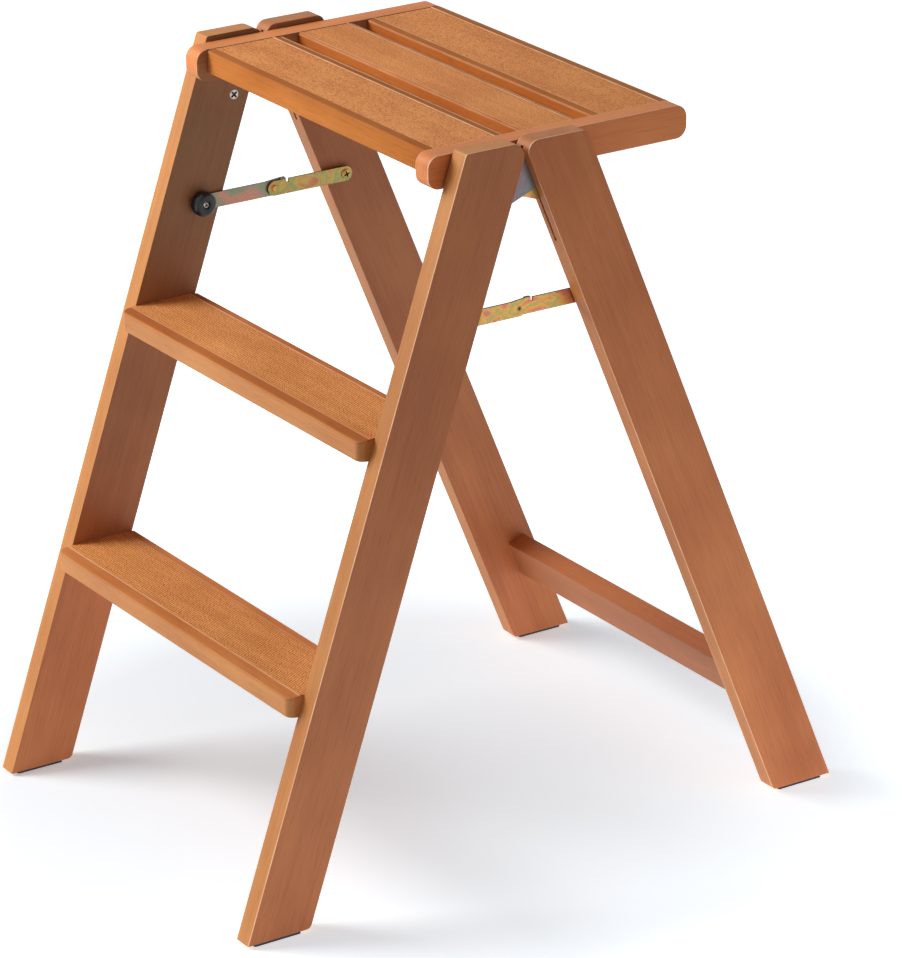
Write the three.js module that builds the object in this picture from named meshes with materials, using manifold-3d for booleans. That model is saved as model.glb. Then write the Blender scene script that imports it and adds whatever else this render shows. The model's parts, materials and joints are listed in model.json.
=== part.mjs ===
// Folding wooden step ladder: two treads, a slatted top platform and a rear frame that folds
// flat against the front frame. Millimetres, +Z up, treads facing -Y, resting on Z = 0.
//
// Nearly every piece is a flat board or plate seen from the side, so the ladder is drawn in
// its side view: x runs from front to back, y is the height and z runs across the ladder.
// One turned group at the end stands that side view up in the world.

import * as THREE from 'three';
import { mergeVertices } from 'three/addons/utils/BufferGeometryUtils.js';
import Module from 'manifold-3d';

const wasm = await Module();
wasm.setup();

// ---------------------------------------------------------------- driving dimensions

// Frame
const ladderHeight = 680;          // floor to the tops of the stiles
const outerWidth = 452;            // outer face to outer face
const boardThickness = 19.5;       // stiles and rear legs, across the ladder
const stileWidth = 60;             // front to back, square to the stile
const legWidth = 60;
const stileRake = degrees(19.2);   // lean of the stiles from upright
const legRake = degrees(21.9);     // lean of the rear legs from upright
const apexDrop = 7;                // stile top down to where the facing edges would meet
const padThickness = 2.5;
const padFrontInset = 7;           // pad edges in from the ends of the board's sole
const padRearInset = 9;
const padSideInset = 1;            // pad edges in from the faces of the board

// Treads
const treadThickness = 20;
const treadDepth = 83;
const treadOverhang = 16;          // nose in front of the stile edge, at the tread's top
const lowerTreadTop = 217;
const upperTreadTop = 437;
const noseBevelDepth = 10;         // shallow bevel along the nose, back from the front face
const noseBevelHeight = 1.8;
const noseCornerRadius = 7.5;      // rounding of the nose at each end, seen from above
const heelRadius = 2.5;
const easedEdge = 1.5;             // rounding of the less exposed long edges
const treadDowelSpacing = 34;
const dowelDiameter = 8;
const dowelLength = 30;
const dowelInStile = 12;

// Platform
const platformDrop = 4.5;          // stile top down to the platform's top
const railHeight = 30;
const railThickness = 20;
const railGap = 3;                 // rail's outer face to the stile's inner face
const railFrontReach = 49.5;       // pivot to the rail's front end
const railRearReach = 218.5;       // pivot to the rail's rear end
const railEndRadius = 11;
const slatThickness = 22.5;
const slatGap = 17;
const slatSetback = 11.2;          // rail's front end to the front slat
const slatSizes = [                // the bands slope down to the long edges
  { name: 'front_slat', width: 79.5, frontBand: 7.2, rearBand: 10 },
  { name: 'middle_slat', width: 58, frontBand: 2.2, rearBand: 5.5 },
  { name: 'rear_slat', width: 80, frontBand: 8, rearBand: 10.5 },
];
const slatBandDrop = 1;
const slatTenonSpread = 0.6;       // middle to middle of a slat's two tenons, as a share of it
const slatTenonWidth = 12;
const slatTenonHeight = 8;
const slatTenonLength = 10;
const platformBoltDiameter = 8;
const platformBoltHeadDiameter = 12;
const platformBoltHeadLength = 4;
const platformBoltInStile = 14;
const platformSpacerDiameter = 18;
const restPegDiameter = 8;
const restPegReach = 16;           // out of the leg's inner face, under the rail
const restPegInLeg = 13;
const restPegWall = 2.5;           // wood between the peg and the floor of the kerf

// Rear stretcher
const stretcherThickness = 20;
const stretcherWidth = 38;
const stretcherInset = 8;          // stretcher's rear face to the leg's rear edge
const stretcherTopHeight = 104.5;  // floor to its upper front corner
const stretcherTenonDiameter = 12;
const stretcherTenonLength = 12;

// Frame hinges: two plates side by side in a saw kerf in each board
const hingeEdgeGap = 2.8;          // hinge pin's centre to the edge of each board
const plateThickness = 1.5;
const plateLength = 34.5;          // hinge pin down to the end of the swinging part
const plateLap = 1.5;              // far corner of the swinging part inside the facing board
const plateShoulder = 6;           // straight far edge of the swinging part
const plateCornerRadius = 3;
const plateAnchorDepth = 38;       // the part that is held in its own board
const plateAnchorLength = 63;
const plateEyeRadius = 6.5;
const plateEyeEnd = degrees(-235);   // where the eye's arc gives way to the upper edge
const plateRoofGap = 2.5;            // held part below the kerf's roof
const plateMouthGap = 3;             // held part inside the mouth of its own kerf
const kerfInset = 8;               // board's inner face to the middle of the kerf
const kerfLength = 92;             // hinge pin down to the kerf's lower end
const kerfDepth = 40;              // hinge pin across to the kerf's floor
const kerfRoof = 6.5;              // wood left between the kerf and the board's top
const kerfRunOut = 16;             // how far up the kerf's floor ends above its lower end
const hingePinDiameter = 5;
const plateScrewDiameter = 4;
const plateScrewHeadDiameter = 10;
const plateScrewHeadLength = 2.6;
const plateScrewLength = 14.5;

// Folding stays
const stayHeight = 523.5;          // floor to the stays, when open
const stayFrontInset = 42;         // stile's front edge to the front pivot, measured level
const stayRearInset = 21.3;        // leg's front edge to the rear pivot, measured level
const frontLinkLength = 77.5;      // pivot to knee
const linkWidth = 14.5;
const linkThickness = 2;
const lugThickness = 1.2;          // lug on the front link that stops the knee when straight
const lugFrom = 6.5;               // lug's ends, behind the knee
const lugTo = 12;
const lugRampFrom = 9;             // start of the rising edge that leads to the lug, before the knee
const lugWebDepth = 3;
const notchFrom = 12.5;            // notch in the rear link's upper edge, behind the knee
const notchTo = 15.4;
const notchDepth = 3.4;
const kneeRivetDiameter = 5;
const kneeRivetHeadDiameter = 6.5;
const kneeRivetHeadHeight = 1.2;
const stayScrewDiameter = 4.5;
const stayScrewHeadDiameter = 9.5;
const stayScrewHeadHeight = 2.4;
const bumperScrewHeadDiameter = 6.5;
const stayScrewInWood = 12;
const staySpacerDiameter = 12;
const bumperDiameter = 23.5;
const bumperThickness = 9.5;
const bumperRecess = 2.8;          // hollow for the screw head in the bumper's crown
const bumperCrown = 3;             // rounding of the bumper's crown
const bumperHollowMargin = 0.4;    // hollow's rim outside the screw head

// Rounded corners of the boards, seen from the side
const stileCorners = { footRear: 6, topRear: 12, topFront: 3 };
const legCorners = { footFront: 5, topRear: 8, topFront: 10 };

// Clearances
const fitClearance = 0.2;          // round a dowel, pin, screw or tenon in its hole
const slideClearance = 0.15;       // between plates, and between a plate and its kerf
const seatClearance = 0.3;         // between a moving part and what it rests on

const arcSteps = 8;
const roundSteps = 24;

// ---------------------------------------------------------------- derived places

const innerFace = outerWidth / 2 - boardThickness;
const soleHeight = padThickness;   // the boards' bottoms stand on the pads
const stileLevelWidth = stileWidth / Math.cos(stileRake);
const legLevelWidth = legWidth / Math.cos(legRake);

const apexHeight = ladderHeight - apexDrop;
const stileFront = (height) => (height - soleHeight) * Math.tan(stileRake);
const stileRear = (height) => stileFront(height) + stileLevelWidth;
const legFront = (height) => stileRear(apexHeight) + (apexHeight - height) * Math.tan(legRake);
const legRear = (height) => legFront(height) + legLevelWidth;
const openDepth = legRear(soleHeight);

// The hinge pin lies below the apex, where it is hingeEdgeGap from both facing edges.
const hingeDrop = hingeEdgeGap / Math.sin((stileRake + legRake) / 2);
const bisector = (legRake - stileRake) / 2;
const hinge = {
  x: stileRear(apexHeight) + hingeDrop * Math.sin(bisector),
  y: apexHeight - hingeDrop * Math.cos(bisector),
};

// With the ladder open, the far corner of each plate just enters the facing board.
const foldAngle = stileRake + legRake;
const alongFacingEdge = (plateLength + hingeEdgeGap * Math.sin(foldAngle)) / Math.cos(foldAngle);
const plateReach = alongFacingEdge * Math.sin(foldAngle) + hingeEdgeGap * Math.cos(foldAngle)
  + plateLap;

const platformTop = ladderHeight - platformDrop;
const railBottom = platformTop - railHeight;
const platformPivot = { x: 0, y: platformTop - railHeight / 2 };
platformPivot.x = stileFront(platformPivot.y) + stileLevelWidth / 2;
const railOuterFace = innerFace - railGap;
const railInnerFace = railOuterFace - railThickness;

const stayFrontPivot = { x: stileFront(stayHeight) + stayFrontInset, y: stayHeight };
const stayKnee = { x: stayFrontPivot.x + frontLinkLength, y: stayHeight };
const stayRearPivot = { x: legFront(stayHeight) + stayRearInset, y: stayHeight };

// ---------------------------------------------------------------- shape helpers

function degrees(angle) {
  return angle * Math.PI / 180;
}

function material(color, roughness, metalness) {
  return new THREE.MeshStandardMaterial({ color, roughness, metalness });
}

const wood = () => material(0xa9663c, 0.55, 0);
const zincSteel = () => material(0xb9ad7a, 0.35, 0.9);
const brightSteel = () => material(0xc9c9c4, 0.3, 0.95);
const rubber = () => material(0x17181a, 0.7, 0);

// A closed outline through corners [x, y, radius]; a corner with a radius becomes an arc.
function outline(corners) {
  const shape = new THREE.Shape();
  corners.forEach(([x, y, radius = 0], index) => {
    const corner = new THREE.Vector2(x, y);
    const before = new THREE.Vector2(...corners.at(index - 1).slice(0, 2)).sub(corner);
    const after = new THREE.Vector2(...corners[(index + 1) % corners.length].slice(0, 2));
    after.sub(corner);
    const half = Math.acos(before.clone().normalize().dot(after.clone().normalize())) / 2;
    const start = corner.clone().addScaledVector(before.normalize(), radius / Math.tan(half));
    if (index === 0) shape.moveTo(start.x, start.y);
    else shape.lineTo(start.x, start.y);
    if (radius > 0) {
      const middle = before.clone().add(after.normalize()).normalize();
      const centre = corner.clone().addScaledVector(middle, radius / Math.sin(half));
      const end = corner.clone().addScaledVector(after, radius / Math.tan(half));
      const from = start.clone().sub(centre).angle();
      const to = end.clone().sub(centre).angle();
      const clockwise = before.cross(after) > 0;
      shape.absarc(centre.x, centre.y, radius, from, to, clockwise);
    }
  });
  shape.closePath();
  return shape;
}

// A flat piece: the outline swept across the ladder from z = from to z = to.
function board(shape, from, to) {
  const settings = { depth: Math.abs(to - from), bevelEnabled: false, curveSegments: arcSteps };
  const geometry = new THREE.ExtrudeGeometry(shape, settings);
  return geometry.translate(0, 0, Math.min(from, to));
}

// A round piece on an axis across the ladder at {x, y}. Its profile is a list of
// [radius, z], the first and the last on the axis; it may run either way along z.
function turned(profile, { x, y }) {
  const rising = profile.at(-1)[1] > profile[0][1] ? profile : profile.toReversed();
  const points = rising.map(([radius, z]) => new THREE.Vector2(radius, z));
  const geometry = new THREE.LatheGeometry(points, roundSteps);
  return geometry.rotateX(Math.PI / 2).translate(x, y, 0);
}

// A plain round bar or bore across the ladder, between z = from and z = to.
function bar(diameter, from, to, place) {
  const radius = diameter / 2;
  return turned([[0, from], [radius, from], [radius, to], [0, to]], place);
}

function box(x, y, z) {
  const size = [x, y, z].map(([from, to]) => Math.abs(to - from));
  const middle = [x, y, z].map(([from, to]) => (from + to) / 2);
  return new THREE.BoxGeometry(...size).translate(...middle);
}

function toSolid(geometry) {
  const bare = geometry.clone();
  bare.deleteAttribute('normal');
  bare.deleteAttribute('uv');
  const merged = mergeVertices(bare, 1e-4);
  return new wasm.Manifold(new wasm.Mesh({
    numProp: 3,
    vertProperties: new Float32Array(merged.attributes.position.array),
    triVerts: new Uint32Array(merged.index.array),
  }));
}

function toGeometry(solid) {
  const { vertProperties, triVerts } = solid.getMesh();
  const geometry = new THREE.BufferGeometry();
  geometry.setAttribute('position', new THREE.BufferAttribute(vertProperties, 3));
  geometry.setIndex(new THREE.BufferAttribute(triVerts, 1));
  return geometry;
}

// One piece: a solid with some additions, less some cuts.
function pieceOf(name, look, solid, cuts = [], additions = []) {
  let finished = solid;
  for (const addition of additions) finished = finished.add(toSolid(addition));
  for (const cut of cuts) finished = finished.subtract(toSolid(cut));
  const mesh = new THREE.Mesh(toGeometry(finished), look);
  mesh.geometry.computeVertexNormals();
  mesh.name = name;
  return mesh;
}

function piece(name, look, geometry, cuts, additions) {
  return pieceOf(name, look, toSolid(geometry), cuts, additions);
}

const sides = [{ name: 'left', sign: -1 }, { name: 'right', sign: 1 }];

// ---------------------------------------------------------------- frame boards

// Along a leaning board: down its length and across it, away from the edge at the hinge.
const stileAxes = {
  down: [-Math.sin(stileRake), -Math.cos(stileRake)],
  inward: [-Math.cos(stileRake), Math.sin(stileRake)],
};
const legAxes = {
  down: [Math.sin(legRake), -Math.cos(legRake)],
  inward: [Math.cos(legRake), Math.sin(legRake)],
};

// The place that is so far down a board from the hinge pin, and so far into it.
function fromHinge(axes, down, inward) {
  return {
    x: hinge.x + down * axes.down[0] + inward * axes.inward[0],
    y: hinge.y + down * axes.down[1] + inward * axes.inward[1],
  };
}

const stileOutline = outline([
  [stileFront(soleHeight), soleHeight],
  [stileRear(soleHeight), soleHeight, stileCorners.footRear],
  [stileRear(ladderHeight), ladderHeight, stileCorners.topRear],
  [stileFront(ladderHeight), ladderHeight, stileCorners.topFront],
]);

const legOutline = outline([
  [legFront(soleHeight), soleHeight, legCorners.footFront],
  [legRear(soleHeight), soleHeight],
  [legRear(ladderHeight), ladderHeight, legCorners.topRear],
  [legFront(ladderHeight), ladderHeight, legCorners.topFront],
]);

// The saw kerf that takes both hinge plates, closed at the top and open at the facing edge.
function kerf(axes, sign) {
  const roof = ladderHeight - kerfRoof;
  const roofAt = (inward) => {
    const level = fromHinge(axes, 0, inward);
    const down = (roof - level.y) / axes.down[1];
    return fromHinge(axes, down, inward);
  };
  const mouth = -hingeEdgeGap;
  const corners = [
    roofAt(mouth),
    roofAt(kerfDepth),
    fromHinge(axes, kerfLength - kerfRunOut, kerfDepth),
    fromHinge(axes, kerfLength, hingeEdgeGap),
    fromHinge(axes, kerfLength, mouth),
  ].map(({ x, y }) => [x, y]);
  const middle = sign * (innerFace + kerfInset);
  const half = plateThickness + 1.5 * slideClearance;
  return board(outline(corners), middle - half, middle + half);
}

// Where the screws that hold the plates go, down and into each board from the hinge pin.
// The platform bolt passes through the stile's plate too, and is its second fixing.
const stilePlateScrews = {
  lower: { down: 53.8, inward: 17.7 },
};
const legPlateScrews = {
  lower: { down: 53.8, inward: 17.7 },
  upper: { down: 14, inward: 33 },
};

// A countersunk screw from the board's inner face, and the hole that it needs.
function countersunk(place, sign, { diameter, headDiameter, headLength, length, grow = 0 }) {
  const at = (depth) => sign * (innerFace + depth);
  const shank = diameter / 2 + grow;
  const head = headDiameter / 2 + grow;
  return turned([
    [0, at(-grow)], [head, at(-grow)], [head, at(0)],
    [shank, at(headLength)], [shank, at(length + grow)], [0, at(length + grow)],
  ], place);
}

const plateScrewSize = {
  diameter: plateScrewDiameter,
  headDiameter: plateScrewHeadDiameter,
  headLength: plateScrewHeadLength,
  length: plateScrewLength,
};

const treads = [
  { name: 'lower_tread', top: lowerTreadTop },
  { name: 'upper_tread', top: upperTreadTop },
];

function treadDowelPlaces({ top }) {
  const height = top - treadThickness / 2;
  const middle = stileFront(height) + stileLevelWidth / 2;
  return [-1, 1].map((end) => ({ x: middle + end * treadDowelSpacing / 2, y: height }));
}

// The stretcher's upper front corner, and the place so far down it and so far into it.
const stretcherFront = (legWidth - stretcherInset - stretcherThickness) / Math.cos(legRake);
const stretcherTop = {
  x: legFront(stretcherTopHeight) + stretcherFront,
  y: stretcherTopHeight,
};
function onStretcher(down, inward) {
  return {
    x: stretcherTop.x + down * legAxes.down[0] + inward * legAxes.inward[0],
    y: stretcherTop.y + down * legAxes.down[1] + inward * legAxes.inward[1],
  };
}
const stretcherMiddle = onStretcher(stretcherWidth / 2, stretcherThickness / 2);

// The peg's top lies just under the rail, behind the kerf that the hinge plates swing in.
const restPeg = { x: 0, y: railBottom - seatClearance - restPegDiameter / 2 };
const restPegInward = kerfDepth + restPegWall + restPegDiameter / 2;
restPeg.x = legFront(restPeg.y) + (restPegInward - hingeEdgeGap) / Math.cos(legRake);

function screwHole(place, sign, size) {
  return countersunk(place, sign, { ...size, grow: fitClearance });
}

function makeStile({ name, sign }) {
  const cuts = [
    kerf(stileAxes, sign),
    bar(platformBoltDiameter + 2 * fitClearance, sign * (innerFace - 1),
      sign * (innerFace + platformBoltInStile + fitClearance), platformPivot),
    bar(stayScrewDiameter + 2 * fitClearance, sign * (innerFace - 1),
      sign * (innerFace + stayScrewInWood + fitClearance), stayFrontPivot),
  ];
  for (const { down, inward } of Object.values(stilePlateScrews)) {
    cuts.push(screwHole(fromHinge(stileAxes, down, inward), sign, plateScrewSize));
  }
  for (const tread of treads) {
    for (const place of treadDowelPlaces(tread)) {
      cuts.push(bar(dowelDiameter + 2 * fitClearance, sign * (innerFace - 1),
        sign * (innerFace + dowelInStile + fitClearance), place));
    }
  }
  const solid = board(stileOutline, sign * innerFace, sign * outerWidth / 2);
  return piece(`${name}_stile`, wood(), solid, cuts);
}

function makeLeg({ name, sign }) {
  const cuts = [
    kerf(legAxes, sign),
    bar(restPegDiameter + 2 * fitClearance, sign * (innerFace - 1),
      sign * (innerFace + restPegInLeg + fitClearance), restPeg),
    bar(stayScrewDiameter + 2 * fitClearance, sign * (innerFace - 1),
      sign * (innerFace + stayScrewInWood + fitClearance), stayRearPivot),
    bar(stretcherTenonDiameter + 2 * fitClearance, sign * (innerFace - 1),
      sign * (innerFace + stretcherTenonLength + fitClearance), stretcherMiddle),
  ];
  for (const { down, inward } of Object.values(legPlateScrews)) {
    cuts.push(screwHole(fromHinge(legAxes, down, inward), sign, plateScrewSize));
  }
  const solid = board(legOutline, sign * innerFace, sign * outerWidth / 2);
  return piece(`${name}_rear_leg`, wood(), solid, cuts);
}

function makePad({ name, sign }, holder, front, rear) {
  const from = sign * (innerFace + padSideInset);
  const to = sign * (outerWidth / 2 - padSideInset);
  const shape = box([front + padFrontInset, rear - padRearInset], [0, padThickness], [from, to]);
  return piece(`${name}_${holder}_pad`, rubber(), shape);
}

// ---------------------------------------------------------------- treads and stretcher

// Side section and plan outline, each swept right through, meet in the finished tread.
function makeTread(tread) {
  const { name, top } = tread;
  const nose = stileFront(top) - treadOverhang;
  const heel = nose + treadDepth;
  const bottom = top - treadThickness;
  const section = outline([
    [nose, bottom, easedEdge],
    [heel, bottom, easedEdge],
    [heel, top, heelRadius],
    [nose + noseBevelDepth, top],
    [nose, top - noseBevelHeight, easedEdge],
  ]);
  const plan = outline([
    [-innerFace, heel + 1],
    [-innerFace, nose, noseCornerRadius],
    [innerFace, nose, noseCornerRadius],
    [innerFace, heel + 1],
  ]);
  const settings = { depth: treadThickness + 2, bevelEnabled: false, curveSegments: arcSteps };
  // The plan is drawn as (across, back); it is swept up from below the tread.
  const planSweep = new THREE.ExtrudeGeometry(plan, settings);
  const backIsX = new THREE.Matrix4().makeBasis(
    new THREE.Vector3(0, 0, 1), new THREE.Vector3(1, 0, 0), new THREE.Vector3(0, 1, 0));
  planSweep.applyMatrix4(backIsX).translate(0, bottom - 1, 0);

  const solid = toSolid(board(section, -innerFace, innerFace)).intersect(toSolid(planSweep));
  const holeFloor = innerFace - dowelLength + dowelInStile - fitClearance;
  const holes = sides.flatMap(({ sign }) => treadDowelPlaces(tread).map((place) => bar(
    dowelDiameter + 2 * fitClearance, sign * holeFloor, sign * (innerFace + 1), place)));
  return pieceOf(name, wood(), solid, holes);
}

function makeTreadDowels(tread) {
  return sides.flatMap(({ name, sign }) => treadDowelPlaces(tread).map((place, index) => {
    const end = index === 0 ? 'front' : 'rear';
    const dowel = bar(dowelDiameter, sign * (innerFace + dowelInStile),
      sign * (innerFace + dowelInStile - dowelLength), place);
    return piece(`${name}_${tread.name}_${end}_dowel`, wood(), dowel);
  }));
}

function makeStretcher() {
  const corners = [[0, 0], [stretcherWidth, 0], [stretcherWidth, stretcherThickness],
    [0, stretcherThickness]].map(([down, inward]) => {
    const { x, y } = onStretcher(down, inward);
    return [x, y, easedEdge];
  });
  const tenon = innerFace + stretcherTenonLength;
  return piece('rear_stretcher', wood(), board(outline(corners), -innerFace, innerFace), [],
    [bar(stretcherTenonDiameter, -tenon, tenon, stretcherMiddle)]);
}

// ---------------------------------------------------------------- platform

const slats = [];
let slatFront = platformPivot.x - railFrontReach + slatSetback;
for (const size of slatSizes) {
  slats.push({ ...size, front: slatFront });
  slatFront += size.width + slatGap;
}

// Two stub tenons on each end of a slat, seen from the side.
function slatTenon({ front, width }, end, grow) {
  const middle = front + width / 2 + end * width * slatTenonSpread / 2;
  const height = platformTop - slatThickness / 2;
  const halfWidth = slatTenonWidth / 2 + grow;
  const halfHeight = slatTenonHeight / 2 + grow;
  return [[middle - halfWidth, middle + halfWidth], [height - halfHeight, height + halfHeight]];
}

function makeRail({ name, sign }) {
  const front = platformPivot.x - railFrontReach;
  const rear = platformPivot.x + railRearReach;
  const shape = outline([
    [front, railBottom, railEndRadius], [rear, railBottom, railEndRadius],
    [rear, platformTop, railEndRadius], [front, platformTop, railEndRadius],
  ]);
  const bolt = platformBoltDiameter + 2 * fitClearance;
  const head = platformBoltHeadDiameter + 2 * fitClearance;
  const cuts = [
    bar(bolt, sign * (railInnerFace - 1), sign * (railOuterFace + 1), platformPivot),
    bar(head, sign * (railInnerFace - 1),
      sign * (railInnerFace + platformBoltHeadLength + fitClearance), platformPivot),
  ];
  for (const slat of slats) {
    for (const end of [-1, 1]) {
      cuts.push(box(...slatTenon(slat, end, fitClearance),
        [sign * (railInnerFace - 1), sign * (railInnerFace + slatTenonLength + fitClearance)]));
    }
  }
  const solid = board(shape, sign * railInnerFace, sign * railOuterFace);
  return piece(`${name}_rail`, wood(), solid, cuts);
}

function makeSlat(slat) {
  const { name, front, width, frontBand, rearBand } = slat;
  const bottom = platformTop - slatThickness;
  const section = outline([
    [front, bottom, easedEdge],
    [front + width, bottom, easedEdge],
    [front + width, platformTop - slatBandDrop],
    [front + width - rearBand, platformTop],
    [front + frontBand, platformTop],
    [front, platformTop - slatBandDrop],
  ]);
  const reach = railInnerFace + slatTenonLength;
  const tenons = [-1, 1].map((end) => box(...slatTenon(slat, end, 0), [-reach, reach]));
  return piece(name, wood(), board(section, -railInnerFace, railInnerFace), [], tenons);
}

function makePlatformBolt({ name, sign }) {
  const at = (z) => sign * z;
  const shank = platformBoltDiameter / 2;
  const head = platformBoltHeadDiameter / 2;
  const bolt = turned([
    [0, at(railInnerFace)], [head, at(railInnerFace)],
    [head, at(railInnerFace + platformBoltHeadLength)],
    [shank, at(railInnerFace + platformBoltHeadLength)],
    [shank, at(innerFace + platformBoltInStile)], [0, at(innerFace + platformBoltInStile)],
  ], platformPivot);
  return piece(`${name}_platform_bolt`, brightSteel(), bolt);
}

function makePlatformSpacer({ name, sign }) {
  const from = sign * (railOuterFace + seatClearance);
  const ring = bar(platformSpacerDiameter, from, sign * innerFace, platformPivot);
  const hole = bar(platformBoltDiameter + 2 * fitClearance, sign * (railOuterFace - 1),
    sign * (innerFace + 1), platformPivot);
  return piece(`${name}_platform_spacer`, brightSteel(), ring, [hole]);
}

function makeRestPeg({ name, sign }) {
  const peg = bar(restPegDiameter, sign * (innerFace - restPegReach),
    sign * (innerFace + restPegInLeg), restPeg);
  return piece(`${name}_rest_peg`, brightSteel(), peg);
}

// ---------------------------------------------------------------- frame hinges

// A plate is held in its own board and swings into the kerf of the facing board.
// Its outline runs round from the eye over the swinging part to the part that is held.
function plateOutline(axes) {
  const anchorTop = fromHinge(axes, 0, plateAnchorDepth).y;
  const anchorStart = (ladderHeight - kerfRoof - plateRoofGap - anchorTop) / axes.down[1];
  const far = -plateReach;
  const corner = [plateLength - plateShoulder, far];
  // Where the upper edge touches the eye.
  const reach = Math.hypot(...corner);
  const toCorner = Math.atan2(corner[1], corner[0]);
  const touch = toCorner - Math.acos(plateEyeRadius / reach);
  const eye = [];
  for (let step = 0; step <= arcSteps; step += 1) {
    const angle = THREE.MathUtils.lerp(touch, plateEyeEnd, step / arcSteps);
    eye.push([plateEyeRadius * Math.cos(angle), plateEyeRadius * Math.sin(angle)]);
  }
  const held = hingeEdgeGap + plateMouthGap;
  const local = [
    [plateLength, held],
    [plateLength, far, plateCornerRadius],
    [...corner, plateCornerRadius],
    ...eye,
    [anchorStart, plateAnchorDepth, plateCornerRadius],
    [plateAnchorLength, plateAnchorDepth, plateCornerRadius],
    [plateAnchorLength, held, plateCornerRadius],
  ];
  return outline(local.map(([down, inward, radius]) => {
    const { x, y } = fromHinge(axes, down, inward);
    return [x, y, radius];
  }));
}

function makePlate({ name, sign }, holder, axes, screws, layer, bolts = []) {
  const middle = sign * (innerFace + kerfInset);
  const near = layer * slideClearance / 2;
  const far = near + layer * plateThickness;
  const shape = board(plateOutline(axes), middle + sign * near, middle + sign * far);
  const through = [sign * innerFace, sign * outerWidth / 2];
  const cuts = [bar(hingePinDiameter + 2 * fitClearance, ...through, hinge)];
  for (const { down, inward } of Object.values(screws)) {
    cuts.push(bar(plateScrewDiameter + 2 * fitClearance, ...through,
      fromHinge(axes, down, inward)));
  }
  for (const bolt of bolts) {
    cuts.push(bar(platformBoltDiameter + 2 * fitClearance, ...through, bolt));
  }
  return piece(`${name}_${holder}_hinge_plate`, zincSteel(), shape, cuts);
}

function makeHingePin({ name, sign }) {
  const middle = sign * (innerFace + kerfInset);
  const half = plateThickness + slideClearance / 2;
  return piece(`${name}_hinge_pin`, brightSteel(),
    bar(hingePinDiameter, middle - half, middle + half, hinge));
}

function makePlateScrews({ name, sign }, holder, axes, screws) {
  return Object.entries(screws).map(([which, { down, inward }]) => {
    const screw = countersunk(fromHinge(axes, down, inward), sign, plateScrewSize);
    return piece(`${name}_${holder}_${which}_plate_screw`, brightSteel(), screw);
  });
}

// ---------------------------------------------------------------- folding stays

// From the stile inwards: front link, rear link. Each is clear of what it slides on.
const frontLinkFaces = [innerFace - seatClearance - linkThickness, innerFace - seatClearance];
const rearLinkFaces = [
  frontLinkFaces[0] - slideClearance - linkThickness, frontLinkFaces[0] - slideClearance];

function link(front, rear) {
  const half = linkWidth / 2;
  return outline([
    [front.x - half, front.y - half, half - 0.01], [rear.x + half, rear.y - half, half - 0.01],
    [rear.x + half, rear.y + half, half - 0.01], [front.x - half, front.y + half, half - 0.01],
  ]);
}

function throughHole(diameter, place) {
  return bar(diameter + 2 * fitClearance, -outerWidth, outerWidth, place);
}

function makeFrontLink({ name, sign }) {
  const strip = board(link(stayFrontPivot, stayKnee), ...frontLinkFaces.map((z) => sign * z));
  // The link's upper edge rises to the lug, which reaches over the rear link.
  const edge = stayHeight + linkWidth / 2;
  const lugHeights = [edge + seatClearance, edge + seatClearance + lugThickness];
  const lug = box([stayKnee.x + lugFrom, stayKnee.x + lugTo], lugHeights,
    [sign * frontLinkFaces[1], sign * rearLinkFaces[0]]);
  const web = board(outline([
    [stayKnee.x - lugRampFrom, edge - lugWebDepth], [stayKnee.x + lugTo, edge - lugWebDepth],
    [stayKnee.x + lugTo, lugHeights[1]], [stayKnee.x + lugFrom, lugHeights[1]],
    [stayKnee.x - lugRampFrom, edge],
  ]), ...frontLinkFaces.map((z) => sign * z));
  return piece(`${name}_front_link`, zincSteel(), strip,
    [throughHole(stayScrewDiameter, stayFrontPivot)], [web, lug]);
}

function makeRearLink({ name, sign }) {
  const strip = board(link(stayKnee, stayRearPivot), ...rearLinkFaces.map((z) => sign * z));
  const edge = stayHeight + linkWidth / 2;
  const notch = box([stayKnee.x + notchFrom, stayKnee.x + notchTo], [edge - notchDepth, edge + 1],
    [sign * (rearLinkFaces[0] - 1), sign * (rearLinkFaces[1] + 1)]);
  return piece(`${name}_rear_link`, zincSteel(), strip, [
    throughHole(kneeRivetDiameter, stayKnee), throughHole(stayScrewDiameter, stayRearPivot), notch]);
}

function makeKneeRivet({ name, sign }) {
  const at = (z) => sign * z;
  const shank = kneeRivetDiameter / 2;
  const head = kneeRivetHeadDiameter / 2;
  const seat = rearLinkFaces[0] - slideClearance;
  const rivet = turned([
    [0, at(rearLinkFaces[1])], [shank, at(rearLinkFaces[1])], [shank, at(seat)],
    [head, at(seat)], [head * 0.75, at(seat - kneeRivetHeadHeight * 0.8)],
    [head * 0.4, at(seat - kneeRivetHeadHeight)], [0, at(seat - kneeRivetHeadHeight)],
  ], stayKnee);
  return piece(`${name}_knee_rivet`, brightSteel(), rivet);
}

// A pan-head screw that carries a link on its shank; its head is clear of the face at seat.
function panScrew(name, place, sign, seat, headDiameter) {
  const at = (z) => sign * z;
  const shank = stayScrewDiameter / 2;
  const head = headDiameter / 2;
  const underHead = seat - slideClearance;
  const top = underHead - stayScrewHeadHeight;
  const screw = turned([
    [0, at(innerFace + stayScrewInWood)], [shank, at(innerFace + stayScrewInWood)],
    [shank, at(underHead)], [head, at(underHead)],
    [head, at(underHead - stayScrewHeadHeight * 0.4)], [head * 0.6, at(top)], [0, at(top)],
  ], place);
  return piece(name, brightSteel(), screw);
}

const bumperBase = frontLinkFaces[0] - slideClearance;
const bumperTop = bumperBase - bumperThickness;

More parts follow.
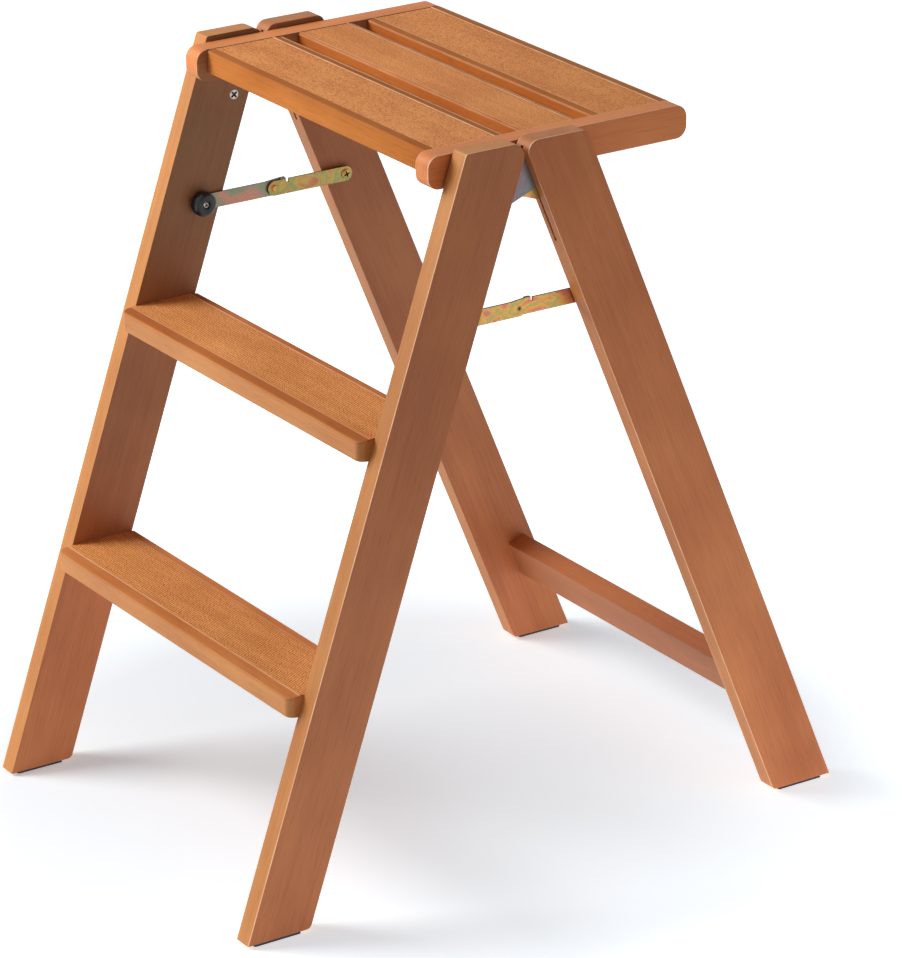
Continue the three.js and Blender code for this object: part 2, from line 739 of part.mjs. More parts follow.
function makeBumper({ name, sign }) {
  const at = (z) => sign * z;
  const radius = bumperDiameter / 2;
  const crownEdge = radius - bumperCrown;
  const disc = turned([
    [0, at(bumperBase)], [radius, at(bumperBase)], [radius, at(bumperTop + bumperCrown)],
    [radius - bumperCrown * 0.3, at(bumperTop + bumperCrown * 0.3)],
    [crownEdge, at(bumperTop)], [0, at(bumperTop)],
  ], stayFrontPivot);
  const hollow = bar(bumperScrewHeadDiameter + 2 * bumperHollowMargin, sign * (bumperTop - 1),
    sign * (bumperTop + bumperRecess), stayFrontPivot);
  return piece(`${name}_bumper`, rubber(), disc, [hollow, throughHole(stayScrewDiameter, stayFrontPivot)]);
}

function makeStaySpacer({ name, sign }) {
  const faces = [innerFace, rearLinkFaces[1] + slideClearance].map((z) => sign * z);
  return piece(`${name}_stay_spacer`, brightSteel(),
    bar(staySpacerDiameter, ...faces, stayRearPivot), [throughHole(stayScrewDiameter, stayRearPivot)]);
}

// ---------------------------------------------------------------- assembly

const frontFrame = new THREE.Group();
const rearFrame = new THREE.Group();
const platform = new THREE.Group();
const stays = new THREE.Group();

for (const side of sides) {
  const { name, sign } = side;
  frontFrame.add(
    makeStile(side),
    makePad(side, 'stile', stileFront(soleHeight), stileRear(soleHeight)),
    makePlate(side, 'stile', stileAxes, stilePlateScrews, -1, [platformPivot]),
    ...makePlateScrews(side, 'stile', stileAxes, stilePlateScrews),
    makeHingePin(side),
    makePlatformSpacer(side),
    panScrew(`${name}_stay_front_screw`, stayFrontPivot, sign, bumperTop + bumperRecess,
      bumperScrewHeadDiameter),
    makeBumper(side),
  );
  rearFrame.add(
    makeLeg(side),
    makePad(side, 'leg', legFront(soleHeight), legRear(soleHeight)),
    makePlate(side, 'leg', legAxes, legPlateScrews, 1),
    ...makePlateScrews(side, 'leg', legAxes, legPlateScrews),
    makeRestPeg(side),
    makeStaySpacer(side),
    panScrew(`${name}_stay_rear_screw`, stayRearPivot, sign, rearLinkFaces[0],
      stayScrewHeadDiameter),
  );
  platform.add(makeRail(side), makePlatformBolt(side));
  stays.add(makeFrontLink(side), makeRearLink(side), makeKneeRivet(side));
}
for (const tread of treads) frontFrame.add(makeTread(tread), ...makeTreadDowels(tread));
rearFrame.add(makeStretcher());
platform.add(...slats.map(makeSlat));

// Side view (back, up, across) to world (right, back, up), with the origin on the floor
// under the middle of the open ladder.
const sideView = new THREE.Group();
sideView.applyMatrix4(new THREE.Matrix4().makeBasis(
  new THREE.Vector3(0, 1, 0), new THREE.Vector3(0, 0, 1), new THREE.Vector3(1, 0, 0)));
sideView.position.y = -openDepth / 2;
sideView.add(frontFrame, rearFrame, platform, stays);

const ladder = new THREE.Group();
ladder.add(sideView);
ladder.updateMatrixWorld(true);

export default ladder;
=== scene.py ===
import json
import math
import random

import bmesh
import bpy
from mathutils import Matrix, Vector


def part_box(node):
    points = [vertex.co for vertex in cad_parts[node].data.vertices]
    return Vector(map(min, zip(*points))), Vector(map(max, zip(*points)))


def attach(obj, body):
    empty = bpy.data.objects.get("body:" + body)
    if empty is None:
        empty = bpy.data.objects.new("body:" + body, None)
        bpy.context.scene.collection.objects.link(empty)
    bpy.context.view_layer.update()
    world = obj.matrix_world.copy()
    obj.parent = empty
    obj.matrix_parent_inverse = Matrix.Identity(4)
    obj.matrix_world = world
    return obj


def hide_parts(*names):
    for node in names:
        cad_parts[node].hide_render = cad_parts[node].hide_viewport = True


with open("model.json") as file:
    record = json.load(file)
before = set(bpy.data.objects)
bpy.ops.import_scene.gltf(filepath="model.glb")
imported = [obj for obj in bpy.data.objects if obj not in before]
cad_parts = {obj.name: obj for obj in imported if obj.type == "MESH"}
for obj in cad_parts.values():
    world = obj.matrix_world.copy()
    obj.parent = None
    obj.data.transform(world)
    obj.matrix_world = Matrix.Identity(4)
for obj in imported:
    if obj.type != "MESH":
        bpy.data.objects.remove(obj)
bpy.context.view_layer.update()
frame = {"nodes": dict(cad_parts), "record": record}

MM = 0.001
body_of_node = {node: body for body, members in frame["record"]["behaviour"]["bodies"].items()
                for node in members}
SIDES = {"left": 1, "right": -1}   # each side's direction in X, from its board to the middle

# ---------------------------------------------------------------- camera

AZIMUTH = math.radians(57.253)
ELEVATION = math.radians(21.519)
ROLL = math.radians(-0.778)
CAMERA_PLACE = (3.4977, -2.2041, 1.9249)
LENS = 182.47
SENSOR = 36


def make_camera():
    right = Vector((math.cos(AZIMUTH), math.sin(AZIMUTH), 0))
    back = Vector((math.sin(AZIMUTH) * math.cos(ELEVATION),
                   -math.cos(AZIMUTH) * math.cos(ELEVATION), math.sin(ELEVATION)))
    up = back.cross(right)
    rolled = [math.cos(ROLL) * right + math.sin(ROLL) * up,
              math.cos(ROLL) * up - math.sin(ROLL) * right, back]
    data = bpy.data.cameras.new("camera")
    data.sensor_width = SENSOR
    data.lens = LENS
    data.clip_start, data.clip_end = 0.1, 60
    camera = bpy.data.objects.new("camera", data)
    turn = Matrix(rolled).transposed().to_4x4()
    camera.matrix_world = Matrix.Translation(CAMERA_PLACE) @ turn
    bpy.context.scene.collection.objects.link(camera)
    bpy.context.scene.camera = camera


make_camera()

# ---------------------------------------------------------------- node helpers


def put(tree, kind, inputs=None, **settings):
    """Adds a node. inputs holds sockets to link from, or plain values."""
    made = tree.nodes.new(kind)
    for key, value in settings.items():
        setattr(made, key, value)
    for key, value in (inputs or {}).items():
        if isinstance(value, bpy.types.NodeSocket):
            tree.links.new(value, made.inputs[key])
        else:
            made.inputs[key].default_value = value
    return made


def maths(tree, operation, *values, clamp=False):
    inputs = dict(enumerate(values))
    return put(tree, "ShaderNodeMath", inputs, operation=operation, use_clamp=clamp).outputs[0]


def mixed(tree, factor, first, second, blend="MIX"):
    """A mix of two colours; 0, 6 and 7 are its factor and colour sockets, and 2 its result."""
    inputs = {0: factor, 6: first, 7: second}
    return put(tree, "ShaderNodeMix", inputs, data_type="RGBA", blend_type=blend).outputs[2]


def times(tree, colour, tint, share=1.0):
    return mixed(tree, share, colour, (*tint, 1), "MULTIPLY")


def ramp(tree, value, stops, smooth=True):
    made = put(tree, "ShaderNodeValToRGB", {0: value})
    made.color_ramp.interpolation = "EASE" if smooth else "LINEAR"
    elements = made.color_ramp.elements
    while len(elements) < len(stops):
        elements.new(0.5)
    for element, (place, colour) in zip(elements, stops):
        element.position = place
        element.color = (*colour, 1)
    return made.outputs[0]


def level(tree, value, low, high, to_low=0.0, to_high=1.0):
    """The value from low to high, spread over to_low to to_high and held there."""
    inputs = {0: value, 1: low, 2: high, 3: to_low, 4: to_high}
    return put(tree, "ShaderNodeMapRange", inputs, clamp=True).outputs[0]


def stretched_noise(tree, place, scale, detail=2.0, roughness=0.5, distortion=0.0):
    moved = put(tree, "ShaderNodeMapping", {"Vector": place, "Scale": scale}).outputs[0]
    inputs = {"Vector": moved, "Scale": 1.0, "Detail": detail, "Roughness": roughness,
              "Distortion": distortion}
    return put(tree, "ShaderNodeTexNoise", inputs).outputs[0]


def attribute(tree, name, output="Fac"):
    return put(tree, "ShaderNodeAttribute", attribute_name=name).outputs[output]


def object_place(tree):
    return put(tree, "ShaderNodeTexCoord").outputs["Object"]


def new_material(name):
    material = bpy.data.materials.new(name)
    material.use_nodes = True
    tree = material.node_tree
    tree.nodes.clear()
    shader = tree.nodes.new("ShaderNodeBsdfPrincipled")
    output = tree.nodes.new("ShaderNodeOutputMaterial")
    tree.links.new(shader.outputs[0], output.inputs[0])
    return material, tree, shader


def surface(tree, shader, colour, noise, smoothest, roughest):
    """Gives the shader its colour, and a roughness that follows the noise."""
    tree.links.new(colour, shader.inputs["Base Color"])
    rough = level(tree, noise, 0.3, 0.7, smoothest, roughest)
    tree.links.new(rough, shader.inputs["Roughness"])


def bump(tree, shader, height, distance, strength):
    made = put(tree, "ShaderNodeBump", {"Height": height, "Distance": distance,
                                        "Strength": strength})
    tree.links.new(made.outputs[0], shader.inputs["Normal"])


# ---------------------------------------------------------------- wood

STAIN_LIGHT = (0.700, 0.232, 0.072)
STAIN_DARK = (0.500, 0.138, 0.036)
WEAR_AND_HIGHLIGHT = (1.000, 0.620, 0.375)
PLAIN_TINT = (1.0, 1.0, 1.0)
MATT_TINT = (1.20, 1.50, 1.85)
POOLED_AND_SHADE_TINT = (0.46, 0.31, 0.20)
# Painted shade: a greyer brown on faces in shade, growing towards the top of a board.
SHADE_TINT = (0.52, 0.84, 1.12)
# The tints in order: warmer wood; painted light on outer faces; a painted sheen on narrow faces;
# painted shade; and pooled staining, which also holds painted shade in slots and creases.
MARK_TINTS = (("warm", (0.93, 0.83, 0.575)), ("painted_light", (1.80, 1.80, 1.70)),
              ("narrow", (1.14, 1.48, 1.32)), ("deep_shade", (0.70, 0.75, 0.80)),
              ("stain", POOLED_AND_SHADE_TINT))
SHADE_FROM, SHADE_TO, SHADE_LEAST = 0.12, 0.58, 0.08   # heights between which it grows

# Noise scales per metre: along the board, across its face and through it.
BAND_SCALE = (1.7, 46, 46)
FIBRE_SCALE = (16, 640, 640)
MOTTLE_SCALE = (9, 14, 14)
PORE_SCALE = (55, 1000, 800)
WEAR_SCALE = (40, 40, 40)
WANDER_SCALE = (90, 60, 90)
SPECKLE_SCALE = (980, 700, 980)
BAND_SHARE, FIBRE_SHARE, MOTTLE_SHARE = 0.30, 0.28, 0.42

ROUGHNESS_SPAN = 0.12
FIBRE_HEIGHT = 0.1 * MM
GRIP_GLOSS = 0.16
WANDER = 3.0               # how far, in radians, the linen threads stray
CROSS_THREADS = 0.55       # threads across the board for each one along it
THREAD_HEIGHT = 0.55       # of the threads, against the speckle's


def grain(tree, board):
    """Colour of the stained beech, and the height of its fibres."""
    bands = stretched_noise(tree, board, BAND_SCALE, 3, 0.55, 0.8)
    fibres = stretched_noise(tree, board, FIBRE_SCALE, 3, 0.6)
    mottle = stretched_noise(tree, board, MOTTLE_SCALE, 2, 0.5)
    pores = stretched_noise(tree, board, PORE_SCALE, 1, 0.4)
    tone = maths(tree, "MULTIPLY", bands, BAND_SHARE)
    tone = maths(tree, "MULTIPLY_ADD", fibres, FIBRE_SHARE, tone)
    tone = maths(tree, "MULTIPLY_ADD", mottle, MOTTLE_SHARE, tone)
    colour = ramp(tree, level(tree, tone, 0.38, 0.68), [(0.0, STAIN_DARK), (1.0, STAIN_LIGHT)],
                  smooth=False)
    return times(tree, colour, POOLED_AND_SHADE_TINT, level(tree, pores, 0.58, 0.76, 0.0, 0.26)), fibres


def tinted(tree, colour):
    """The marks stored on the mesh: warmer places, painted light, a painted sheen on narrow
    faces, painted shade, pooled staining that also holds painted shade in slots and creases, and
    painted shade, a greyer brown that grows towards the top of a board."""
    height = put(tree, "ShaderNodeSeparateXYZ", {0: object_place(tree)}).outputs[2]
    shade = maths(tree, "MULTIPLY", attribute(tree, "shade"),
                  level(tree, height, SHADE_FROM, SHADE_TO, SHADE_LEAST, 1.0))
    colour = times(tree, colour, SHADE_TINT, shade)
    for name, tint in MARK_TINTS:
        colour = times(tree, colour, tint, attribute(tree, name))
    return colour


def wood_material(name, gloss, smoothest, tint):
    material, tree, shader = new_material(name)
    board = attribute(tree, "board", "Vector")
    colour, fibres = grain(tree, board)
    colour = tinted(tree, times(tree, colour, tint))
    # Arrises are painted lighter: wear and a painted highlight.
    patchy = stretched_noise(tree, board, WEAR_SCALE)
    wear_and_highlight = maths(tree, "MULTIPLY", attribute(tree, "arris"),
                 level(tree, patchy, 0.35, 0.65, 0.55, 0.95))
    colour = mixed(tree, wear_and_highlight, colour, (*WEAR_AND_HIGHLIGHT, 1))
    surface(tree, shader, colour, fibres, smoothest, smoothest + ROUGHNESS_SPAN)
    shader.inputs["Specular IOR Level"].default_value = gloss
    bump(tree, shader, fibres, FIBRE_HEIGHT, 0.4)
    return material


def grip_material(name, pitch, depth, tint, dark_tint, light_tint):
    """The anti-slip surface: a fine pressed linen pattern, pitch metres from thread to
    thread, with an uneven speckle."""
    material, tree, shader = new_material(name)
    board = attribute(tree, "board", "Vector")
    colour, fibres = grain(tree, board)
    colour = times(tree, colour, tint)
    wander = maths(tree, "SUBTRACT", stretched_noise(tree, board, WANDER_SCALE), 0.5)
    wander = maths(tree, "MULTIPLY", wander, WANDER)
    split = put(tree, "ShaderNodeSeparateXYZ", {0: board}).outputs
    waves = []
    for socket, share in ((split[0], 1.0), (split[1], CROSS_THREADS)):
        turns = maths(tree, "MULTIPLY_ADD", socket, 2 * math.pi * share / pitch, wander)
        waves.append(maths(tree, "SINE", turns))
    threads = maths(tree, "MULTIPLY", *waves)
    speckle = level(tree, stretched_noise(tree, board, SPECKLE_SCALE, 1, 0.6), 0.25, 0.75)
    height = maths(tree, "MULTIPLY_ADD", threads, THREAD_HEIGHT, speckle)
    colour = mixed(tree, level(tree, height, 0.2, 0.8), times(tree, colour, dark_tint),
                   times(tree, colour, light_tint))
    surface(tree, shader, colour, fibres, 0.6, 0.7)
    shader.inputs["Specular IOR Level"].default_value = GRIP_GLOSS
    bump(tree, shader, height, depth, 0.6)
    return material


WOOD = wood_material("stained_beech", gloss=0.46, smoothest=0.50, tint=PLAIN_TINT)
MATT_WOOD = wood_material("matt_beech", gloss=0.04, smoothest=0.75, tint=MATT_TINT)
TREAD_GRIP = grip_material("tread_grip", pitch=2.9 * MM, depth=0.22 * MM,
                           tint=(1.40, 2.00, 2.26), dark_tint=(0.50, 0.37, 0.29),
                           light_tint=(1.40, 1.50, 1.60))
SLAT_GRIP = grip_material("slat_grip", pitch=2.4 * MM, depth=0.15 * MM,
                          tint=(1.72, 2.30, 2.66), dark_tint=(0.56, 0.44, 0.37),
                          light_tint=(1.34, 1.43, 1.50))

# ---------------------------------------------------------------- metal and rubber

SPECK_COLOUR = (0.30, 0.19, 0.10)
LINK_SHADE_TINT = (0.68, 0.86, 0.94)
EDGE_COLOUR = (0.06, 0.040, 0.030)      # cut edges, and painted shade in crevices, on the zinc
CREVICE_SHADE_COLOUR = (0.035, 0.030, 0.026)     # painted shade in crevices of the steel
YELLOW_FILMS = [
    (0.30, (0.40, 0.25, 0.19)), (0.38, (0.72, 0.22, 0.13)), (0.45, (0.78, 0.40, 0.09)),
    (0.53, (0.42, 0.38, 0.13)), (0.60, (0.80, 0.43, 0.09)), (0.70, (0.72, 0.20, 0.11)),
]
FADED_FILMS = [
    (0.35, (0.80, 0.30, 0.18)), (0.43, (0.70, 0.31, 0.20)), (0.475, (0.48, 0.33, 0.22)),
    (0.56, (0.42, 0.34, 0.20)), (0.68, (0.34, 0.33, 0.16)),
]
PALE_FILMS = [
    (0.36, (0.19, 0.21, 0.20)), (0.46, (0.18, 0.16, 0.20)), (0.55, (0.26, 0.15, 0.17)),
    (0.64, (0.21, 0.19, 0.18)),
]
STEEL_TONES = [(0.3, (0.56, 0.52, 0.44)), (0.7, (0.76, 0.71, 0.62))]
RUBBER_TONES = [(0.35, (0.003, 0.006, 0.011)), (0.7, (0.010, 0.017, 0.028))]
SPECK_SCALE = (500, 500, 500)
CLOUD_SCALE = (700, 700, 700)
SKIN_SCALE = (1100, 1100, 1100)
BLOOM_SCALE = (160, 160, 160)


def zinc_material(name, films, scale):
    """Yellow passivated zinc plate: an iridescent film that drifts in colour."""
    material, tree, shader = new_material(name)
    place = object_place(tree)
    film = ramp(tree, stretched_noise(tree, place, scale, 2, 0.5, 0.9), films, smooth=False)
    specks = stretched_noise(tree, place, SPECK_SCALE)
    film = mixed(tree, level(tree, specks, 0.45, 0.75, 0.0, 0.30), film, (*SPECK_COLOUR, 1))
    # Painted shade on the left links.
    film = times(tree, film, LINK_SHADE_TINT, attribute(tree, "shade"))
    dark = maths(tree, "MAXIMUM", attribute(tree, "cut_edge"), attribute(tree, "crevice_shade"))
    film = mixed(tree, dark, film, (*EDGE_COLOUR, 1))
    surface(tree, shader, film, specks, 0.34, 0.48)
    shader.inputs["Metallic"].default_value = 0.72
    bump(tree, shader, specks, 0.03 * MM, 0.3)
    return material


def steel_material():
    material, tree, shader = new_material("bright_zinc")
    cloud = stretched_noise(tree, object_place(tree), CLOUD_SCALE, 3)
    colour = ramp(tree, cloud, STEEL_TONES)
    colour = mixed(tree, attribute(tree, "crevice_shade"), colour, (*CREVICE_SHADE_COLOUR, 1))
    surface(tree, shader, colour, cloud, 0.30, 0.45)
    shader.inputs["Metallic"].default_value = 0.65
    bump(tree, shader, cloud, 0.02 * MM, 0.3)
    return material


def rubber_material():
    material, tree, shader = new_material("moulded_rubber")
    place = object_place(tree)
    skin = stretched_noise(tree, place, SKIN_SCALE, 3)
    bloom = stretched_noise(tree, place, BLOOM_SCALE, 3)
    surface(tree, shader, ramp(tree, bloom, RUBBER_TONES), bloom, 0.26, 0.42)
    bump(tree, shader, skin, 0.08 * MM, 0.5)
    return material


ZINC = zinc_material("yellow_zinc", YELLOW_FILMS, (16, 34, 48))
FADED_ZINC = zinc_material("faded_zinc", FADED_FILMS, (13, 30, 40))
PALE_ZINC = zinc_material("pale_zinc", PALE_FILMS, (30, 60, 60))
STEEL = steel_material()
RUBBER = rubber_material()

# ---------------------------------------------------------------- mesh helpers

MERGE = 1e-6               # points closer than this are one
ON_PLANE = 2e-5            # points closer than this to a plane lie on it
FLAT_ANGLE = math.radians(0.6)
ALONG, ACROSS, THROUGH = Vector((1, 0, 0)), Vector((0, 1, 0)), Vector((0, 0, 1))


def finish_piece(bm, node, materials, smooth_angle=35):
    """Turns the mesh into a shown piece that stands for its CAD node."""
    name = f"fine_{node}"
    bmesh.ops.recalc_face_normals(bm, faces=bm.faces[:])
    mesh = bpy.data.meshes.new(name)
    bm.to_mesh(mesh)
    bm.free()
    for material in materials:
        mesh.materials.append(material)
    mesh.shade_smooth()
    mesh.set_sharp_from_angle(angle=math.radians(smooth_angle))
    piece = bpy.data.objects.new(name, mesh)
    bpy.context.scene.collection.objects.link(piece)
    weighted = piece.modifiers.new("normals", "WEIGHTED_NORMAL")
    weighted.keep_sharp = True
    weighted.weight = 100
    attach(piece, body_of_node[node])
    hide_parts(node)
    return piece


def board_axes(bm):
    """Along the longest edge, across, and square to the largest face."""
    longest = max(bm.edges, key=lambda e: e.calc_length())
    along = (longest.verts[1].co - longest.verts[0].co).normalized()
    if along.z < -0.5 or (abs(along.z) <= 0.5 and along.x + along.y < 0):
        along.negate()
    flats = [f for f in bm.faces if abs(f.normal.dot(along)) < 0.1]
    through = max(flats, key=lambda f: f.calc_area()).normal.copy()
    return along, through.cross(along).normalized(), through


def mark_board(bm, name, axes):
    """Stores where each point lies in its own board, at a place of its own in the tree."""
    pick = random.Random(name)
    shift = Vector((pick.uniform(0, 9), pick.uniform(0, 3), pick.uniform(0, 3)))
    layer = bm.verts.layers.float_vector.new("board")
    for vert in bm.verts:
        vert[layer] = Vector([vert.co.dot(axis) for axis in axes]) + shift


def cad_mesh(node):
    """A copy of a CAD node's mesh, with its flat faces made whole."""
    bm = bmesh.new()
    bm.from_mesh(frame["nodes"][node].data)
    bmesh.ops.remove_doubles(bm, verts=bm.verts[:], dist=MERGE)
    bmesh.ops.dissolve_limit(bm, angle_limit=FLAT_ANGLE, verts=bm.verts[:], edges=bm.edges[:])
    return bm


def rim(bm, side):
    """The outer edge loop of a flat piece's broad side at x = side, without its holes."""
    edges = [e for e in bm.edges if all(abs(v.co.x - side) < ON_PLANE for v in e.verts)
             and sum(abs(f.normal.x) > 0.99 for f in e.link_faces) == 1]
    group = {}

    def root(vert):
        while group.get(vert, vert) != vert:
            vert = group[vert]
        return vert

    for edge in edges:
        first, second = root(edge.verts[0]), root(edge.verts[1])
        if first != second:
            group[first] = second
    loops = {}
    for edge in edges:
        loops.setdefault(root(edge.verts[0]), []).append(edge)

    def extent(loop):
        points = [v.co for e in loop for v in e.verts]
        return (max(p.y for p in points) - min(p.y for p in points)
                + max(p.z for p in points) - min(p.z for p in points))

    return max(loops.values(), key=extent)


WOOD_SEGMENTS, METAL_SEGMENTS = 3, 2
CHAMFER_SHIFTS = ((0.5, 0.10), (0.134, 0.02))   # insets of the bevel's loops, from and to,
                                                # as shares of its radius
NEAR = 0.1                                      # share of the radius
CHAMFER_LEAN = 0.4                              # the most that a chamfer's normal has of X


def eased(bm, side, radius, segments):
    """Eases the rim of the broad side at x = side. On wood most of it becomes a narrow chamfer
    that leans towards the narrow faces and is painted paler: wear and a painted highlight."""
    made = bmesh.ops.bevel(bm, geom=rim(bm, side), offset=radius, offset_type="OFFSET",
                           segments=segments, profile=0.5, affect="EDGES",
                           clamp_overlap=True)
    if segments == WOOD_SEGMENTS:
        for vert in {v for f in made["faces"] if f.is_valid for v in f.verts}:
            inset = vert.co.x - side
            for share, wanted in CHAMFER_SHIFTS:
                if abs(abs(inset) - share * radius) < NEAR * radius:
                    vert.co.x = side + math.copysign(wanted * radius, inset)
    bm.normal_update()
    layer = bm.faces.layers.float["arris"]
    for face in made["faces"]:
        if face.is_valid and abs(face.normal.x) < CHAMFER_LEAN:
            face[layer] = 1.0


def flat_piece(node, material, inner, outer, segments, marks):
    """A board or plate from its CAD solid, with the arrises of its broad sides eased to
    the radii inner and outer. marks gives further fields, each as its name and its values
    on the inner, outer and narrow sides."""
    bm = cad_mesh(node)
    axes = board_axes(bm)
    xs = [v.co.x for v in bm.verts]
    inner_side, outer_side = sorted((min(xs), max(xs)), key=abs)
    bm.faces.layers.float.new("arris")
    eased(bm, inner_side, inner, segments)
    eased(bm, outer_side, outer, segments)
    inward = SIDES[node.split("_")[0]]
    for name, facing_in, facing_out, narrow in marks:
        layer = bm.faces.layers.float.new(name)
        for face in bm.faces:
            turned = face.normal.x * inward
            face[layer] = facing_in if turned > 0.5 else facing_out if turned < -0.5 else narrow
    mark_board(bm, node, axes)
    finish_piece(bm, node, [material])


def swept(node, stations, section, materials, face_material, fields):
    """A piece swept across the ladder. section(x) gives a closed list of as many points
    (y, z, marks) at each station, where marks holds their values in some of the fields.
    face_material(i) is the slot of the faces between the points i and i + 1."""
    bm = bmesh.new()
    layers = {key: bm.verts.layers.float.new(key) for key in fields}
    rings = []
    for x in stations:
        ring = []
        for y, z, marks in section(x):
            vert = bm.verts.new((x, y, z))
            for key, layer in layers.items():
                vert[layer] = marks.get(key, 0.0)
            ring.append(vert)
        rings.append(ring)
    count = len(rings[0])
    for first, second in zip(rings, rings[1:]):
        for index in range(count):
            after = (index + 1) % count
            face = bm.faces.new((first[index], first[after], second[after], second[index]))
            face.material_index = face_material(index)
    bm.faces.new(rings[0])
    bm.faces.new(rings[-1][::-1])
    bmesh.ops.remove_doubles(bm, verts=bm.verts[:], dist=MERGE)
    bmesh.ops.dissolve_degenerate(bm, edges=bm.edges[:], dist=MERGE)
    mark_board(bm, node, (ALONG, ACROSS, THROUGH))
    finish_piece(bm, node, materials)


def arc(centre, radius, start, end, steps, **marks):
    """Points round a centre (y, z), from the angle start to the angle end in degrees."""
    turns = [math.radians(start + (end - start) * i / steps) for i in range(steps + 1)]
    return [(centre[0] + radius * math.cos(t), centre[1] + radius * math.sin(t), marks)
            for t in turns]


# ---------------------------------------------------------------- boards

# Radii of the inner and outer arrises, then the marks of flat_piece. The marks paint shade on
# inner faces, light on outer faces and a sheen on narrow faces: painted shade, painted light and
# a painted sheen.
BOARDS = {
    "stile": (0.9 * MM, 1.4 * MM, [("narrow", 0.0, 0.0, 1.0), ("shade", 1.0, 0.0, 0.0)]),
    "rear_leg": (0.9 * MM, 1.3 * MM, [("narrow", 0.0, 0.0, 0.6), ("shade", 0.6, 0.0, 0.0),
                                      ("painted_light", 0.0, 0.36, 0.0)]),
    "rail": (0.6 * MM, 1.4 * MM, [("narrow", 0.0, 0.0, 0.2), ("painted_light", 0.1, 0.9, 0.55),
                                  ("shade", 0.7, 0.0, 0.0)]),
}
LEG_SHADE = {"left": 0.6, "right": 0.2}   # painted shade: the left leg's narrow faces are darker

for side in SIDES:
    for board, (inner, outer, marks) in BOARDS.items():
        more = [("deep_shade", 0.0, 0.0, LEG_SHADE[side])] if board == "rear_leg" else []
        flat_piece(f"{side}_{board}", WOOD, inner, outer, WOOD_SEGMENTS, marks + more)

# ---------------------------------------------------------------- treads

BAND = 10.7 * MM           # smooth band behind the nose
RIDGE = 0.5 * MM           # the field stands this much above the smooth bands
NOSE_DROP = 1.9 * MM
NOSE_CORNER = 7.5 * MM
LIP = 1.1 * MM
FRINGE = 2.2 * MM          # stain that has run over the lip onto the face
HEEL_RADIUS = 2.5 * MM
EASED = 1.5 * MM
LINE = 1.4 * MM            # rubbed edge beside an anti-slip field, painted paler: wear and a painted highlight
END_GAP = 0.06 * MM        # clear of the legs, which fold past the tread's ends
BAND_SHARES = (0.45, 0.85, 1.0, 0.95, 0.85, 0.85, 0.85, 0.7)   # of the stain, front to back
CORNER_TURNS = (0, 12, 24, 36, 48, 60, 72, 82, 90)             # degrees
FACE_TOP = 5               # the section's point at the top of the front face
HEEL_FACES = 6             # from the field's face to the heel's round edge


def tread(node, heel_band, band_stain, front_line, heel_stain, heel_line):
    """front_line and heel_line say how much lighter the edges of the anti-slip field are painted:
    wear and a painted highlight.
    """
    low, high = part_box(node)
    nose, heel, bottom, top = low.y, high.y, low.z, high.z
    field_face = 0

    def band_top(depth):
        share = max(0.0, 1 - depth / BAND)
        return top - RIDGE - (NOSE_DROP - RIDGE) * share ** 2.0

    def section(x):
        nonlocal field_face
        inset = 0.0
        beyond = abs(x) - (high.x - NOSE_CORNER)
        if beyond > 0:
            inset = NOSE_CORNER - math.sqrt(max(0.0, NOSE_CORNER ** 2 - beyond ** 2))
        face = nose + inset
        lip_top = band_top(inset + LIP)
        # The front face and its lip carry a painted sheen, the lip less of it.
        points = arc((face + EASED, bottom + EASED), EASED, 270, 180, 4, narrow=1)
        points.append((face, lip_top - LIP - FRINGE, {"narrow": 1}))
        points += arc((face + LIP, lip_top - LIP), LIP, 180, 90, 4, narrow=0.4)
        for step, share in enumerate(BAND_SHARES, 1):
            depth = max(inset + LIP, BAND * step / len(BAND_SHARES))
            points.append((nose + depth, band_top(depth), {"stain": band_stain * share}))
        front = nose + BAND
        points += [(front + 0.3 * MM, top - 0.05 * MM, {"arris": front_line}),
                   (front + LINE, top, {"arris": front_line})]
        field_face = len(points)
        edge = heel - heel_band
        points += [(front + LINE + 0.3 * MM, top, {}),
                   (edge - LINE - 0.8 * MM, top, {"stain": 0.35}),
                   (edge - LINE, top, {"arris": heel_line}),
                   (edge, top, {"arris": heel_line}),
                   # The groove behind the field is painted darker, and so is the upper tread's
                   # heel band: painted shade.
                   (edge + 0.3 * MM, top - 0.8 * MM, {"stain": 0.9 - heel_line / 2}),
                   (edge + 0.8 * MM, top - RIDGE, {"stain": heel_stain})]
        points += arc((heel - HEEL_RADIUS, top - RIDGE - HEEL_RADIUS), HEEL_RADIUS, 90, 0, 5,
                      stain=heel_stain)
        points += arc((heel - EASED, bottom + EASED), EASED, 0, -90, 4)
        return points

    def face_material(index):
        if index == field_face:
            return 2
        return 1 if FACE_TOP < index < field_face + HEEL_FACES else 0

    half = high.x - END_GAP
    turn = [half - NOSE_CORNER + NOSE_CORNER * math.sin(math.radians(a)) for a in CORNER_TURNS]
    stations = [-x for x in reversed(turn)] + turn
    swept(node, stations, section, [WOOD, MATT_WOOD, TREAD_GRIP], face_material,
          ("narrow", "stain", "arris"))


tread("lower_tread", heel_band=9.5 * MM, band_stain=0.05, front_line=0.8, heel_stain=0.0,
      heel_line=0.4)
tread("upper_tread", heel_band=8.6 * MM, band_stain=0.46, front_line=0.4, heel_stain=0.25,
      heel_line=1.0)

# ---------------------------------------------------------------- slats

BAND_DROP = 1 * MM
SLAT_ARRIS = 0.8 * MM
FIELD_SUNK = 0.5 * MM      # the field lies this much below the smooth bands beside it
WALL = 0.6 * MM            # width of the step down to the field
JOINT_WIDTH = 0.7 * MM     # a slat's ends are a little lower and darker where they
JOINT_DROP = 0.4 * MM      # meet the rails
JOINT_STAIN = 0.95


